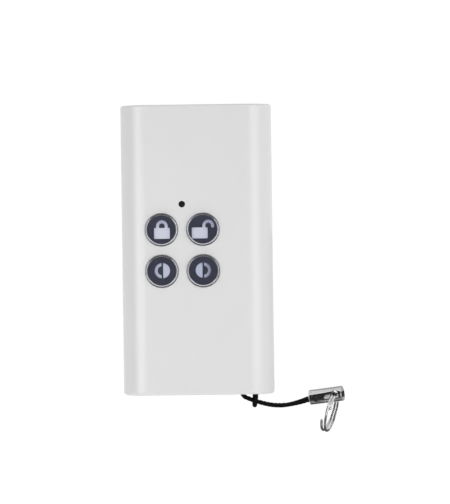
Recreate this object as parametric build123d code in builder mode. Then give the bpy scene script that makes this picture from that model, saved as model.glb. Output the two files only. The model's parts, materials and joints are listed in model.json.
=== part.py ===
from build123d import *
import os
from math import cos, pi, radians, sin, tan

# Alarm key fob: a slim two-shell remote control with four round keys, a coin
# cell and a wrist strap. Sizes are in millimetres. The fob lies on its back.
# X is its width, Y its length towards the top end and Z its thickness, and the
# origin is below the middle of the case, on the surface that the fob lies on.

# Case
case_width = 39.0
case_length = 74.8
case_thickness = 13.0
case_wall = 1.6
top_end_radius = 0.5
bottom_end_radius = 0.8
seam_bevel = 0.15
cut_overrun = 1.0

case_end = case_length / 2
seam_height = case_thickness / 2
inner_width = case_width - 2 * case_wall
inner_length = case_length - 2 * case_wall
inner_thickness = case_thickness - 2 * case_wall
front_inside = case_thickness - case_wall
wall_bite = case_wall / 2

# Lip that lines the two shells up along their sides
lip_length = 50.0
lip_thickness = 0.7
lip_height = 0.8
lip_root = 1.0
lip_clearance = 0.1

# Keys, whose middle lies a little below the case's middle
keypad_drop = 0.08
key_pitch = 10.67
key_cap_diameter = 8.3
key_hole_clearance = 0.12
key_hole_bevel = 0.08
key_flange_diameter = 9.8
key_flange_thickness = 0.55
key_stand_out = 0.6
key_edge_bevel = 0.05
key_rim_slope_width = 0.35
key_rim_angle = 120
key_face_diameter = 7.4
key_pocket_depth = 0.7
key_travel = 0.35
icon_depth = 0.3
stop_gap = 0.05

# Silicone membrane under the keys
membrane_border = 1.7
membrane_height = 2.0
membrane_sheet = 0.45
membrane_skirt = 0.8
membrane_pad_height = 0.3
membrane_pad_diameter = 6.0
membrane_column_diameter = 2.4
membrane_side_gap = 2.13

membrane_side = key_pitch + key_flange_diameter + 2 * membrane_border
keypad_x = -(inner_width / 2 - membrane_side_gap - membrane_side / 2)
key_hole_diameter = key_cap_diameter + 2 * key_hole_clearance
keypad_y = -keypad_drop
key_places = {
    "arm": (keypad_x - key_pitch / 2, keypad_y + key_pitch / 2),
    "disarm": (keypad_x + key_pitch / 2, keypad_y + key_pitch / 2),
    "part_left": (keypad_x - key_pitch / 2, keypad_y - key_pitch / 2),
    "part_right": (keypad_x + key_pitch / 2, keypad_y - key_pitch / 2),
}

# Collar inside the front shell that stops the key flanges
collar_depth = 0.45
collar_bottom = front_inside - collar_depth
key_top = case_thickness + key_stand_out
flange_top = collar_bottom - stop_gap
flange_bottom = flange_top - key_flange_thickness
key_face_recess = key_rim_slope_width / tan(radians(key_rim_angle / 2))
face_top = key_top - key_face_recess
face_bottom = key_top - key_pocket_depth
icon_bottom = face_top - icon_depth

# Symbols on the keys, measured from the middle of a key
lock_width = 4.05
lock_height = 2.8
lock_base = -2.35
lock_corner = 0.2
shackle_bar = 0.76
shackle_radius = 1.115
shackle_rise = 0.47
closed_lock_shift = 0.15
open_lock_shift = -0.8
open_shackle_shift = 1.4
open_leg_rise = 0.3
half_disc_radius = 1.97
half_disc_gap = 0.22
half_disc_rise = 0.13
left_disc_shift = 0.12
arc_bar = 0.76

lock_top = lock_base + lock_height
shackle_centre = lock_top + shackle_rise
arc_inner_radius = half_disc_radius - arc_bar

# Heights of the membrane and the board under the keys
sheet_top = flange_bottom - stop_gap - membrane_pad_height
sheet_bottom = sheet_top - membrane_sheet
board_top = sheet_top - membrane_height

# Light pipe and status light
led_rise = 11.85
led_pipe_diameter = 1.6
led_pipe_recess = 0.05
led_flange_diameter = 2.6
led_flange_thickness = 0.5
led_notch_gap = 0.3
led_length = 2.0
led_width = 1.25
led_height = 0.8
led_air_gap = 0.2
led_x = keypad_x
led_y = keypad_y + led_rise
led_notch_half = led_flange_diameter / 2 + led_notch_gap

# Circuit board and its screws
board_side_gap = 1.4
board_end_gap = 5.3
board_thickness = 1.0
board_corner_radius = 1.0
board_screw_inset = 3.5
board_screw_diameter = 1.6
board_screw_head_diameter = 3.0
board_screw_head_height = 0.8
board_screw_reach = 2.6
board_boss_diameter = 4.4
screw_clearance = 0.05

board_width = inner_width - 2 * board_side_gap
board_length = inner_length - 2 * board_end_gap
board_bottom = board_top - board_thickness
board_screw_x = board_width / 2 - board_screw_inset
board_screw_y = board_length / 2 - board_screw_inset

# Push switches
switch_side = 4.5
switch_height = 1.0
switch_corner = 0.5
switch_leg_width = 0.6
switch_leg_span = 5.6
switch_leg_thickness = 0.2
plunger_diameter = 2.0
plunger_height = 0.8
plunger_stand_out = 0.3
plunger_top = board_top + switch_height + plunger_stand_out

# Electronic parts on the board, outside the membrane
chip_lead = 1.95
microcontroller_side = 5.0
radio_side = 4.0
chip_height = 0.9
chip_spacing = 4.7
crystal_length = 3.2
crystal_width = 2.5
crystal_height = 0.75
crystal_gap = 1.25
component_length = 1.6
component_width = 0.8
component_height = 0.6
component_pitch = 1.3
component_gap = 0.8
component_count = 5
antenna_boss_gap = 1.2
antenna_start_gap = 3.5
antenna_end_gap = 1.4
antenna_strip = 1.2
antenna_thickness = 0.3
antenna_corner = 2.0

antenna_half_width = board_screw_x - board_boss_diameter / 2 - antenna_boss_gap - antenna_strip / 2
antenna_start = keypad_y + membrane_side / 2 + antenna_start_gap
antenna_end = board_length / 2 - antenna_end_gap - antenna_strip / 2

# Coin cell, its holder and contacts, under the board
cell_diameter = 20.0
cell_thickness = 3.2
cell_cap_inset = 1.15
cell_step = 0.3
cell_edge = 0.3
cell_offset = 8.0
holder_base = 0.5
holder_wall = 1.4
holder_clearance = 0.2
holder_reveal = 0.6
holder_mouth = 9.0
contact_gap = 0.2
contact_thickness = 0.3
contact_width = 5.0
contact_tongue = 7.5
contact_foot = 2.4
contact_disc_diameter = 7.6
contact_disc_thickness = 0.2
contact_tip_diameter = 3.0

cell_y = -cell_offset
cell_cap_diameter = cell_diameter - 2 * cell_cap_inset
cell_top = board_bottom - holder_base - contact_gap
cell_bottom = cell_top - cell_thickness
holder_inner_radius = cell_diameter / 2 + holder_clearance
holder_outer_radius = holder_inner_radius + holder_wall

# Ribs and posts inside the rear shell
cell_rib_spacing = 12.0
cell_rib_length = 12.0
cell_rib_thickness = 1.0
rest_gap = 0.1
post_diameter = 2.4
post_side_gap = 3.9
post_y = 12.0
post_x = inner_width / 2 - post_side_gap

# Screws that close the case
case_screw_inset = 4.05
case_screw_diameter = 2.0
case_screw_running_gap = 0.05
case_screw_reach = 3.5
case_screw_hole_spare = 0.6
case_screw_head_diameter = 3.8
case_screw_head_height = 1.3
case_screw_head_gap = 0.2
case_screw_pass_gap = 0.15
counterbore_depth = 2.2
front_boss_diameter = 5.0
rear_boss_diameter = 6.4
recess_arm_length = 2.2
recess_arm_width = 0.5
recess_depth = 0.6

case_screw_y = case_end - case_screw_inset
case_screw_places = [(0, case_screw_y), (0, -case_screw_y)]
chip_zone_middle = (membrane_side / 2 - keypad_y + case_screw_y - front_boss_diameter / 2) / 2
chip_y = chip_lead - chip_zone_middle
crystal_y = chip_y - microcontroller_side / 2 - crystal_gap - crystal_width / 2

# Strap slot in the bottom end, with the pin that the strap is hitched to
slot_width = 6.2
slot_height = 4.4
slot_depth = 4.5
slot_corner = 1.0
slot_wall = 1.2
pin_diameter = 2.0
pin_length = 7.6
pin_inset = 1.65
pin_side_inset = 6.6
pin_socket_gap = 0.06
pin_chamfer = 0.2
pin_boss_diameter = 3.2

pin_x = case_width / 2 - pin_side_inset
pin_y = pin_inset - case_end

# Strap cord: one length, doubled, with its fold hitched round the pin and both
# ends in the ferrule. The route runs from the ferrule to the pin and back.
cord_diameter = 1.05
pin_bend = 1.6
fold_bend = 1.1
bend_share = 0.45
cord_route = [
    (32.40, -38.47, 5.52),
    (28.90, -38.95, 4.57),
    (26.20, -39.95, 3.77),
    (22.60, -40.75, 3.80),
    (19.20, -40.68, 5.06),
    (16.20, -39.95, 6.52),
    (13.40, -39.00, 6.98),
    (10.85, -37.90, 7.08),
    (11.30, -34.15, 7.20),
    (15.15, -34.15, 7.25),
    (14.40, -40.50, 8.12),
    (14.15, -40.50, 4.25),
    (14.65, -34.15, 5.75),
    (11.30, -34.15, 5.80),
    (10.85, -37.90, 5.92),
    (13.40, -39.00, 5.86),
    (16.20, -39.95, 5.28),
    (19.20, -40.68, 3.74),
    (22.60, -40.75, 2.60),
    (26.20, -39.95, 2.63),
    (28.90, -38.95, 3.43),
    (32.40, -38.47, 4.38),
]
tight_bends = {
    7: pin_bend, 8: pin_bend, 9: pin_bend, 10: fold_bend,
    11: fold_bend, 12: pin_bend, 13: pin_bend, 14: pin_bend,
}

# Ferrule at the end of the strap: its mouth end is low and its eye end is high
ferrule_diameter = 3.95
ferrule_length = 8.8
ferrule_edge = 0.25
ferrule_bore_diameter = 2.9
ferrule_bore_depth = 4.8
ferrule_eye_diameter = 2.2
ferrule_eye_inset = 1.9
ferrule_turn = 7.6
ferrule_tilt = 15.0
mouth_x = 28.74
mouth_y = -38.83
mouth_z = 4.04

# Split ring: two turns of wire less a small gap, one end sprung to the side
ring_diameter = 10.0
ring_wire = 0.65
ring_pitch = 0.68
ring_turn_angle = 688
ring_bends = 16
ring_start_angle = 78
ring_swing = 21.8
ring_sprung = 0.5
ring_sprung_from = 448
ring_shift = 0.16
ring_seat = 0.2
arc_fill_share = 0.98


def disc(place, diameter, low, high, mode=Mode.ADD):
    """A round boss, pad or hole at one place, from one height to another."""
    with BuildSketch(Plane.XY.offset(low)) as outline:
        with Locations(place):
            Circle(diameter / 2)
    extrude(outline.sketch, amount=high - low, mode=mode)


def block(place, size, low, high, mode=Mode.ADD):
    """A straight-sided block at one place, from one height to another."""
    with BuildSketch(Plane.XY.offset(low)) as outline:
        with Locations(place):
            Rectangle(*size)
    extrude(outline.sketch, amount=high - low, mode=mode)


def case_bar(width, thickness, length, mode=Mode.ADD):
    """The case's section, flat with two round sides, run along its length."""
    with BuildSketch(Plane.XZ) as section:
        with Locations((0, seam_height)):
            SlotOverall(width, thickness)
    extrude(section.sketch, amount=length / 2, both=True, mode=mode)


def hollow_case(kept_side):
    """One hollow half of the case, with its ends rounded and its seam bevelled."""
    case_bar(case_width, case_thickness, case_length)
    fillet(faces().sort_by(Axis.Y)[-1].edges(), top_end_radius)
    fillet(faces().sort_by(Axis.Y)[0].edges(), bottom_end_radius)
    split(bisect_by=Plane.XY.offset(seam_height), keep=kept_side)
    seam_face = faces().filter_by(Plane.XY).sort_by(SortBy.AREA)[-1]
    chamfer(seam_face.outer_wire().edges(), seam_bevel)
    case_bar(inner_width, inner_thickness, inner_length, mode=Mode.SUBTRACT)


def strap_pocket(low, high):
    """The solid block that the strap slot is cut into."""
    inner_end = case_end - slot_depth - slot_wall
    outer_end = case_end - wall_bite
    middle = (pin_x, -(inner_end + outer_end) / 2)
    block(middle, (slot_width + 2 * slot_wall, outer_end - inner_end), low, high)


def strap_slot():
    """The slot in the bottom end, centred on the seam."""
    with BuildSketch(Plane.XZ.offset(case_end - slot_depth)) as mouth:
        with Locations((pin_x, seam_height)):
            RectangleRounded(slot_width, slot_height, slot_corner)
    extrude(mouth.sketch, amount=slot_depth + cut_overrun, mode=Mode.SUBTRACT)


def keypad_outline(shrink, low, high, mode=Mode.ADD):
    """The membrane's outline, notched round the light pipe, made smaller by shrink."""
    side = membrane_side - 2 * shrink
    notch_side = 2 * (led_notch_half + shrink)
    with BuildSketch(Plane.XY.offset(low)) as outline:
        with Locations((keypad_x, keypad_y)):
            Rectangle(side, side)
        with Locations((led_x, led_y - led_notch_half - shrink)):
            Rectangle(
                notch_side, membrane_side, align=(Align.CENTER, Align.MIN),
                mode=Mode.SUBTRACT,
            )
    extrude(outline.sketch, amount=high - low, mode=mode)


# Front shell
with BuildPart() as front_shell:
    hollow_case(Keep.TOP)
    for side in (-1, 1):
        rebate_width = wall_bite + lip_thickness + lip_clearance
        rebate_middle = side * (inner_width / 2 - wall_bite + rebate_width / 2)
        block(
            (rebate_middle, 0), (rebate_width, lip_length + 2 * lip_clearance),
            seam_height, seam_height + lip_height + lip_clearance, Mode.SUBTRACT,
        )
    keypad_outline(0, collar_bottom, front_inside + wall_bite)
    keypad_outline(0, sheet_top, collar_bottom)
    keypad_outline(membrane_skirt, sheet_top, collar_bottom, Mode.SUBTRACT)
    for place in case_screw_places:
        disc(place, front_boss_diameter, seam_height, front_inside + wall_bite)
    for x in (-board_screw_x, board_screw_x):
        for y in (-board_screw_y, board_screw_y):
            disc((x, y), board_boss_diameter, board_top, front_inside + wall_bite)
    pocket_top = seam_height + slot_height / 2 + slot_wall
    strap_pocket(seam_height, pocket_top)
    disc((pin_x, pin_y), pin_boss_diameter, pocket_top, front_inside + wall_bite)
    for place in key_places.values():
        disc(place, key_hole_diameter, sheet_top, case_thickness + cut_overrun, Mode.SUBTRACT)
    pipe_hole = led_pipe_diameter + 2 * screw_clearance
    disc((led_x, led_y), pipe_hole, sheet_top, case_thickness + cut_overrun, Mode.SUBTRACT)
    for place in case_screw_places:
        bore_top = seam_height + case_screw_reach + case_screw_hole_spare
        bore = case_screw_diameter + 2 * case_screw_running_gap
        disc(place, bore, seam_height - cut_overrun, bore_top, Mode.SUBTRACT)
    for x in (-board_screw_x, board_screw_x):
        for y in (-board_screw_y, board_screw_y):
            bore = board_screw_diameter + 2 * screw_clearance
            bore_top = board_top + board_screw_reach
            disc((x, y), bore, board_top - cut_overrun, bore_top, Mode.SUBTRACT)
    strap_slot()
    disc((pin_x, pin_y), pin_diameter, seam_height, seam_height + pin_length / 2, Mode.SUBTRACT)
    front_face = faces().filter_by(Plane.XY).sort_by(Axis.Z)[-1]
    round_edges = front_face.edges().filter_by(GeomType.CIRCLE)
    chamfer([edge for edge in round_edges if edge.radius > led_pipe_diameter], key_hole_bevel)
front_shell.part.label = "front_shell"

# Rear shell
with BuildPart() as rear_shell:
    hollow_case(Keep.BOTTOM)
    for side in (-1, 1):
        lip_outer = inner_width / 2 + lip_thickness
        lip_span = lip_thickness + lip_clearance * 2
        block(
            (side * (lip_outer - lip_span / 2), 0), (lip_span, lip_length),
            seam_height - lip_root, seam_height + lip_height,
        )
    for place in case_screw_places:
        disc(place, rear_boss_diameter, wall_bite, seam_height)
    for side in (-1, 1):
        rib_place = (side * cell_rib_spacing / 2, cell_y)
        block(rib_place, (cell_rib_thickness, cell_rib_length), wall_bite, cell_bottom - rest_gap)
        disc((side * post_x, post_y), post_diameter, wall_bite, board_bottom - rest_gap)
    pocket_bottom = seam_height - slot_height / 2 - slot_wall
    strap_pocket(pocket_bottom, seam_height)
    disc((pin_x, pin_y), pin_boss_diameter, wall_bite, pocket_bottom)
    for place in case_screw_places:
        counterbore = case_screw_head_diameter + 2 * case_screw_head_gap
        disc(place, counterbore, -cut_overrun, counterbore_depth, Mode.SUBTRACT)
        pass_hole = case_screw_diameter + 2 * case_screw_pass_gap
        disc(place, pass_hole, -cut_overrun, seam_height + cut_overrun, Mode.SUBTRACT)
    strap_slot()
    pin_socket = pin_diameter + 2 * pin_socket_gap
    socket_bottom = seam_height - pin_length / 2 - pin_socket_gap
    disc((pin_x, pin_y), pin_socket, socket_bottom, seam_height, Mode.SUBTRACT)
rear_shell.part.label = "rear_shell"

def padlock(body_x, shackle_x, free_leg):
    """A padlock: its body, its shackle, and the height that the right leg ends at."""
    with BuildSketch() as symbol:
        with Locations((body_x, lock_base + lock_height / 2)):
            RectangleRounded(lock_width, lock_height, lock_corner)
        with BuildLine():
            left = shackle_x - shackle_radius
            right = shackle_x + shackle_radius
            Line((left, lock_top - lock_corner), (left, shackle_centre))
            ThreePointArc(
                (left, shackle_centre), (shackle_x, shackle_centre + shackle_radius),
                (right, shackle_centre),
            )
            Line((right, shackle_centre), (right, free_leg))
        trace(line_width=shackle_bar)
        if free_leg > lock_top - lock_corner:
            with Locations((right, free_leg)):
                Circle(shackle_bar / 2)
    return symbol.sketch


def half_and_half(solid_side, shift):
    """A disc split down the middle: one half is solid and the other is a thick arc."""
    with BuildSketch() as arc_half:
        Circle(half_disc_radius)
        Circle(arc_inner_radius, mode=Mode.SUBTRACT)
        with Locations((solid_side * (half_disc_radius - half_disc_gap), 0)):
            Rectangle(2 * half_disc_radius, 2 * half_disc_radius, mode=Mode.SUBTRACT)
    with BuildSketch() as solid_half:
        Circle(half_disc_radius)
        with Locations((-solid_side * (half_disc_radius - half_disc_gap), 0)):
            Rectangle(2 * half_disc_radius, 2 * half_disc_radius, mode=Mode.SUBTRACT)
    with BuildSketch() as symbol:
        with Locations((shift, half_disc_rise)):
            add(arc_half.sketch)
            add(solid_half.sketch)
    return symbol.sketch


key_symbols = {
    "arm": padlock(closed_lock_shift, closed_lock_shift, lock_top - lock_corner),
    "disarm": padlock(open_lock_shift, open_shackle_shift, lock_top + open_leg_rise),
    "part_left": half_and_half(1, left_disc_shift),
    "part_right": half_and_half(-1, 0),
}

# Keys: a flanged cap whose rim slopes in, a dark face set into it, and a light symbol
# set into the face
key_parts = {}
for name, place in key_places.items():
    with BuildPart() as key_cap:
        disc(place, key_flange_diameter, flange_bottom, flange_top)
        disc(place, key_cap_diameter, flange_bottom, key_top)
        chamfer(faces().sort_by(Axis.Z)[-1].edges(), key_edge_bevel)
        with Locations((*place, key_top)):
            CounterSinkHole(
                radius=key_face_diameter / 2,
                counter_sink_radius=key_face_diameter / 2 + key_rim_slope_width,
                depth=key_pocket_depth, counter_sink_angle=key_rim_angle,
            )
    key_cap.part.label = f"key_{name}"
    key_parts[f"key_{name}"] = key_cap.part

    with BuildSketch(Plane.XY.offset(icon_bottom)) as symbol_place:
        with Locations(place):
            add(key_symbols[name])

    with BuildPart() as key_face:
        disc(place, key_face_diameter, face_bottom, face_top)
        extrude(symbol_place.sketch, amount=icon_depth + cut_overrun, mode=Mode.SUBTRACT)
    key_face.part.label = f"face_{name}"
    key_parts[f"face_{name}"] = key_face.part

    with BuildPart() as key_icon:
        extrude(symbol_place.sketch, amount=icon_depth)
    key_icon.part.label = f"icon_{name}"
    key_parts[f"icon_{name}"] = key_icon.part

# Membrane: one sheet with a pad above and a column below for each key
with BuildPart() as keypad_membrane:
    keypad_outline(0, board_top, sheet_top)
    keypad_outline(membrane_skirt, board_top, sheet_bottom, Mode.SUBTRACT)
    for place in key_places.values():
        disc(place, membrane_pad_diameter, sheet_top, flange_bottom - stop_gap)
        disc(place, membrane_column_diameter, plunger_top + stop_gap, sheet_bottom)
keypad_membrane.part.label = "keypad_membrane"

# Push switches and their plungers
switch_parts = {}
for name, (x, y) in key_places.items():
    with BuildPart() as switch_body:
        with BuildSketch(Plane.XY.offset(board_top)) as switch_outline:
            with Locations((x, y)):
                RectangleRounded(switch_side, switch_side, switch_corner)
        extrude(amount=switch_height)
        for side in (-1, 1):
            leg_y = y + side * (switch_side / 2 - switch_leg_width)
            block((x, leg_y), (switch_leg_span, switch_leg_width), board_top,
                  board_top + switch_leg_thickness)
        plunger_bore = plunger_diameter + 2 * screw_clearance
        bore_bottom = plunger_top - plunger_height - key_travel - stop_gap
        disc((x, y), plunger_bore, bore_bottom, plunger_top, Mode.SUBTRACT)
    switch_body.part.label = f"switch_{name}"
    switch_parts[f"switch_{name}"] = switch_body.part

    with BuildPart() as plunger:
        disc((x, y), plunger_diameter, plunger_top - plunger_height, plunger_top)
    plunger.part.label = f"plunger_{name}"
    switch_parts[f"plunger_{name}"] = plunger.part

# Light pipe and status light
with BuildPart() as led_window:
    pipe_bottom = board_top + led_height + led_air_gap
    disc((led_x, led_y), led_pipe_diameter, pipe_bottom, case_thickness - led_pipe_recess)
    disc((led_x, led_y), led_flange_diameter, front_inside - led_flange_thickness, front_inside)
led_window.part.label = "led_window"

with BuildPart() as status_led:
    block((led_x, led_y), (led_length, led_width), board_top, board_top + led_height)
status_led.part.label = "status_led"

# Circuit board and what is soldered to its front
with BuildPart() as circuit_board:
    with BuildSketch(Plane.XY.offset(board_bottom)) as board_outline:
        RectangleRounded(board_width, board_length, board_corner_radius)
        with GridLocations(2 * board_screw_x, 2 * board_screw_y, 2, 2):
            Circle(board_screw_diameter / 2 + screw_clearance, mode=Mode.SUBTRACT)
    extrude(amount=board_thickness)
circuit_board.part.label = "circuit_board"

with BuildPart() as microcontroller:
    chip_size = (microcontroller_side, microcontroller_side)
    block((chip_spacing, chip_y), chip_size, board_top, board_top + chip_height)
microcontroller.part.label = "microcontroller"

with BuildPart() as radio_chip:
    block((-chip_spacing, chip_y), (radio_side, radio_side), board_top, board_top + chip_height)
radio_chip.part.label = "radio_chip"

with BuildPart() as crystal:
    block((0, crystal_y), (crystal_length, crystal_width), board_top, board_top + crystal_height)
crystal.part.label = "crystal"

with BuildPart() as chip_components:
    for side in (-1, 1):
        for step in range(component_count):
            component_x = chip_spacing + microcontroller_side / 2 + component_gap + component_length / 2
            component_y = chip_y + (step - component_count // 2) * component_pitch
            block((side * component_x, component_y), (component_length, component_width),
                  board_top, board_top + component_height)
chip_components.part.label = "chip_components"

with BuildPart() as antenna:
    with BuildSketch(Plane.XY.offset(board_top)) as antenna_outline:
        with BuildLine():
            FilletPolyline(
                (-antenna_half_width, antenna_start), (-antenna_half_width, antenna_end),
                (antenna_half_width, antenna_end), (antenna_half_width, antenna_start),
                radius=antenna_corner,
            )
        trace(line_width=antenna_strip)
    extrude(amount=antenna_thickness)
antenna.part.label = "antenna"

# Coin cell, holder and contacts
with BuildPart() as battery:
    disc((0, cell_y), cell_diameter, cell_bottom, cell_top - cell_step)
    fillet(faces().sort_by(Axis.Z)[0].edges(), cell_edge)
    disc((0, cell_y), cell_cap_diameter, cell_bottom, cell_top)
battery.part.label = "battery"

with BuildPart() as battery_holder:
    ring_bottom = cell_bottom + holder_reveal
    disc((0, cell_y), 2 * holder_outer_radius, ring_bottom, board_bottom)
    disc((0, cell_y), 2 * holder_inner_radius, ring_bottom, board_bottom - holder_base, Mode.SUBTRACT)
    contact_seat = contact_disc_diameter + 2 * holder_clearance
    disc((0, cell_y), contact_seat, ring_bottom, board_bottom, Mode.SUBTRACT)
    mouth_place = (0, cell_y - holder_outer_radius)
    block(mouth_place, (holder_mouth, holder_outer_radius), ring_bottom,
          board_bottom - holder_base, Mode.SUBTRACT)
battery_holder.part.label = "battery_holder"

with BuildPart() as battery_contact_negative:
    disc_bottom = board_bottom - contact_disc_thickness
    disc((0, cell_y), contact_disc_diameter, disc_bottom, board_bottom)
    disc((0, cell_y), contact_tip_diameter, cell_top, disc_bottom)
battery_contact_negative.part.label = "battery_contact_negative"

with BuildPart() as battery_contact_positive:
    leg_inner = cell_y + holder_outer_radius
    leg_outer = leg_inner + contact_thickness
    tongue_bottom = cell_bottom - contact_thickness
    leg_middle = (0, (leg_inner + leg_outer) / 2)
    block(leg_middle, (contact_width, contact_thickness), tongue_bottom, board_bottom)
    foot_middle = (0, leg_inner + contact_foot / 2)
    block(foot_middle, (contact_width, contact_foot), board_bottom - contact_thickness, board_bottom)
    tongue_middle = (0, leg_outer - contact_tongue / 2)
    block(tongue_middle, (contact_width, contact_tongue), tongue_bottom, cell_bottom)
battery_contact_positive.part.label = "battery_contact_positive"

# Screws
with BuildPart() as case_screws:
    for x, y in case_screw_places:
        head_bottom = counterbore_depth - case_screw_head_height
        disc((x, y), case_screw_head_diameter, head_bottom, counterbore_depth)
        disc((x, y), case_screw_diameter, head_bottom, seam_height + case_screw_reach)
        for arm in ((recess_arm_length, recess_arm_width), (recess_arm_width, recess_arm_length)):
            block((x, y), arm, head_bottom, head_bottom + recess_depth, Mode.SUBTRACT)
case_screws.part.label = "case_screws"

with BuildPart() as board_screws:
    for x in (-board_screw_x, board_screw_x):
        for y in (-board_screw_y, board_screw_y):
            head_bottom = board_bottom - board_screw_head_height
            disc((x, y), board_screw_head_diameter, head_bottom, board_bottom)
            tip = board_top + board_screw_reach - screw_clearance
            disc((x, y), board_screw_diameter, head_bottom, tip)
board_screws.part.label = "board_screws"

# Lanyard pin
with BuildPart() as lanyard_pin:
    disc((pin_x, pin_y), pin_diameter, seam_height - pin_length / 2, seam_height + pin_length / 2)
    chamfer(edges().filter_by(GeomType.CIRCLE), pin_chamfer)
lanyard_pin.part.label = "lanyard_pin"


def route_bends(points, tight):
    """The bend radius at each corner of a route, as large as its two runs allow."""
    bends = []
    for index in range(1, len(points) - 1):
        before = Vector(points[index]) - Vector(points[index - 1])
        after = Vector(points[index + 1]) - Vector(points[index])
        half_turn = radians(before.get_angle(after)) / 2
        largest = bend_share * min(before.length, after.length) / tan(half_turn)
        bends.append(min(largest, tight.get(index, largest)))
    return bends


def wire_along(points, bends, diameter):
    """A round wire or cord along a route of straight runs and arcs."""
    with BuildLine() as route:
        FilletPolyline(*points, radius=bends)
    path = route.wires()[0]
    with BuildSketch(Plane(origin=path @ 0, z_dir=path % 0)) as section:
        Circle(diameter / 2)
    sweep(section.sketch, path=path)
    return path.length


# Strap cord
with BuildPart() as strap_cord:
    cord_bends = route_bends(cord_route, tight_bends)
    cord_length = wire_along(cord_route, cord_bends, cord_diameter)
strap_cord.part.label = "strap_cord"
cord_section = pi * (cord_diameter / 2) ** 2
print("cord bend radii", [round(bend, 2) for bend in cord_bends])
print("cord length", round(cord_length, 2))
print("cord volume over section times length", strap_cord.part.volume / (cord_section * cord_length))

# Ferrule: along its barrel, up through its eye, and level to the side
turn = radians(ferrule_turn)
tilt = radians(ferrule_tilt)
swing = radians(ring_swing)
barrel_way = Vector(cos(tilt) * cos(turn), cos(tilt) * sin(turn), sin(tilt))
eye_way = Vector(-sin(tilt) * cos(turn), -sin(tilt) * sin(turn), cos(tilt))
level_way = Vector(sin(turn), -cos(turn), 0)
mouth_centre = Vector(mouth_x, mouth_y, mouth_z)
eye_centre = mouth_centre + barrel_way * (ferrule_length - ferrule_eye_inset)
barrel_plane = Plane(origin=mouth_centre, x_dir=level_way, z_dir=barrel_way)
eye_plane = Plane(origin=eye_centre, x_dir=level_way, z_dir=eye_way)

with BuildPart() as strap_ferrule:
    with BuildSketch(barrel_plane) as barrel_outline:
        Circle(ferrule_diameter / 2)
    extrude(amount=ferrule_length)
    fillet(edges().filter_by(GeomType.CIRCLE), ferrule_edge)
    with BuildSketch(barrel_plane) as bore_outline:
        Circle(ferrule_bore_diameter / 2)
    extrude(amount=ferrule_bore_depth, mode=Mode.SUBTRACT)
    with BuildSketch(eye_plane) as eye_outline:
        Circle(ferrule_eye_diameter / 2)
    extrude(amount=ferrule_diameter, both=True, mode=Mode.SUBTRACT)
strap_ferrule.part.label = "strap_ferrule"

# Split ring: it hangs through the eye and stands on its rim
ring_way = level_way * cos(swing) - barrel_way * sin(swing)
ring_axis = eye_way.cross(ring_way)
ring_radius = ring_diameter / 2
ring_centre = eye_centre + ring_way * (ring_radius - ring_seat)
bend_angle = ring_turn_angle / ring_bends


def ring_point(angle, reach):
    """A point of the ring's wire, by the angle from its first end along the wire."""
    place = radians(ring_start_angle - angle)
    along = ring_pitch * (ring_turn_angle / 2 - angle) / 360 - ring_shift
    sprung_share = max(0, angle - ring_sprung_from) / (ring_turn_angle - ring_sprung_from)
    along -= ring_sprung * sprung_share
    return (
        ring_centre - ring_way * (reach * cos(place)) + eye_way * (reach * sin(place))
        + ring_axis * along
    )


corner_reach = ring_radius / cos(radians(bend_angle / 2))
ring_route = [ring_point(0, ring_radius)]
for bend in range(ring_bends):
    ring_route.append(ring_point((bend + 1 / 2) * bend_angle, corner_reach))
ring_route.append(ring_point(ring_turn_angle, ring_radius))

with BuildPart() as split_ring:
    wire_along(ring_route, [arc_fill_share * ring_radius] * ring_bends, ring_wire)
split_ring.part.label = "split_ring"

# Files
sub_parts = {
    "front_shell": front_shell.part,
    "rear_shell": rear_shell.part,
    **key_parts,
    "keypad_membrane": keypad_membrane.part,
    **switch_parts,
    "led_window": led_window.part,
    "status_led": status_led.part,
    "circuit_board": circuit_board.part,
    "microcontroller": microcontroller.part,
    "radio_chip": radio_chip.part,
    "crystal": crystal.part,
    "chip_components": chip_components.part,
    "antenna": antenna.part,
    "battery": battery.part,
    "battery_holder": battery_holder.part,
    "battery_contact_negative": battery_contact_negative.part,
    "battery_contact_positive": battery_contact_positive.part,
    "case_screws": case_screws.part,
    "board_screws": board_screws.part,
    "lanyard_pin": lanyard_pin.part,
    "strap_cord": strap_cord.part,
    "strap_ferrule": strap_ferrule.part,
    "split_ring": split_ring.part,
}
os.makedirs("parts", exist_ok=True)
for name, piece in sub_parts.items():
    export_step(piece, f"parts/{name}.step")
print("ring eye centre", [round(v, 3) for v in eye_centre], "axis", [round(v, 4) for v in eye_way])
print("ring centre", [round(v, 3) for v in ring_centre], "axis", [round(v, 4) for v in ring_axis])
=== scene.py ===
import json
from math import cos, pi, radians, sin, tan

import bpy
from mathutils import Matrix, Vector


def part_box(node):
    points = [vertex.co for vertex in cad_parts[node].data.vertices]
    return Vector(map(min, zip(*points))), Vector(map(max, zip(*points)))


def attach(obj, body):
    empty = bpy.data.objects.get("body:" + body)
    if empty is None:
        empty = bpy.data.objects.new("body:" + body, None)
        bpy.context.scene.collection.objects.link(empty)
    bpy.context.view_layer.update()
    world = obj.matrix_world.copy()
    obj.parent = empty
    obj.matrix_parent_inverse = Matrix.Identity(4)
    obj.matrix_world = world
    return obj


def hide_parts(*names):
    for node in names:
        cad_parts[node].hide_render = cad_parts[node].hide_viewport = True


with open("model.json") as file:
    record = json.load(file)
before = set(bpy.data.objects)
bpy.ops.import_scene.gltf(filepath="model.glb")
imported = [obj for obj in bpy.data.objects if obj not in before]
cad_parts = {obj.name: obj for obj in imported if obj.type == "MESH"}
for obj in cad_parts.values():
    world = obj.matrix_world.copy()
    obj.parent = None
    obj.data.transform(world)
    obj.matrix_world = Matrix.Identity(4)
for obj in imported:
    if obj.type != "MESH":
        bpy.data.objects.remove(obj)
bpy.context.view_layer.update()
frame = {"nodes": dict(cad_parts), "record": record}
nodes = frame["nodes"]

MM = 0.001
KEY_NAMES = ("arm", "disarm", "part_left", "part_right")

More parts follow.
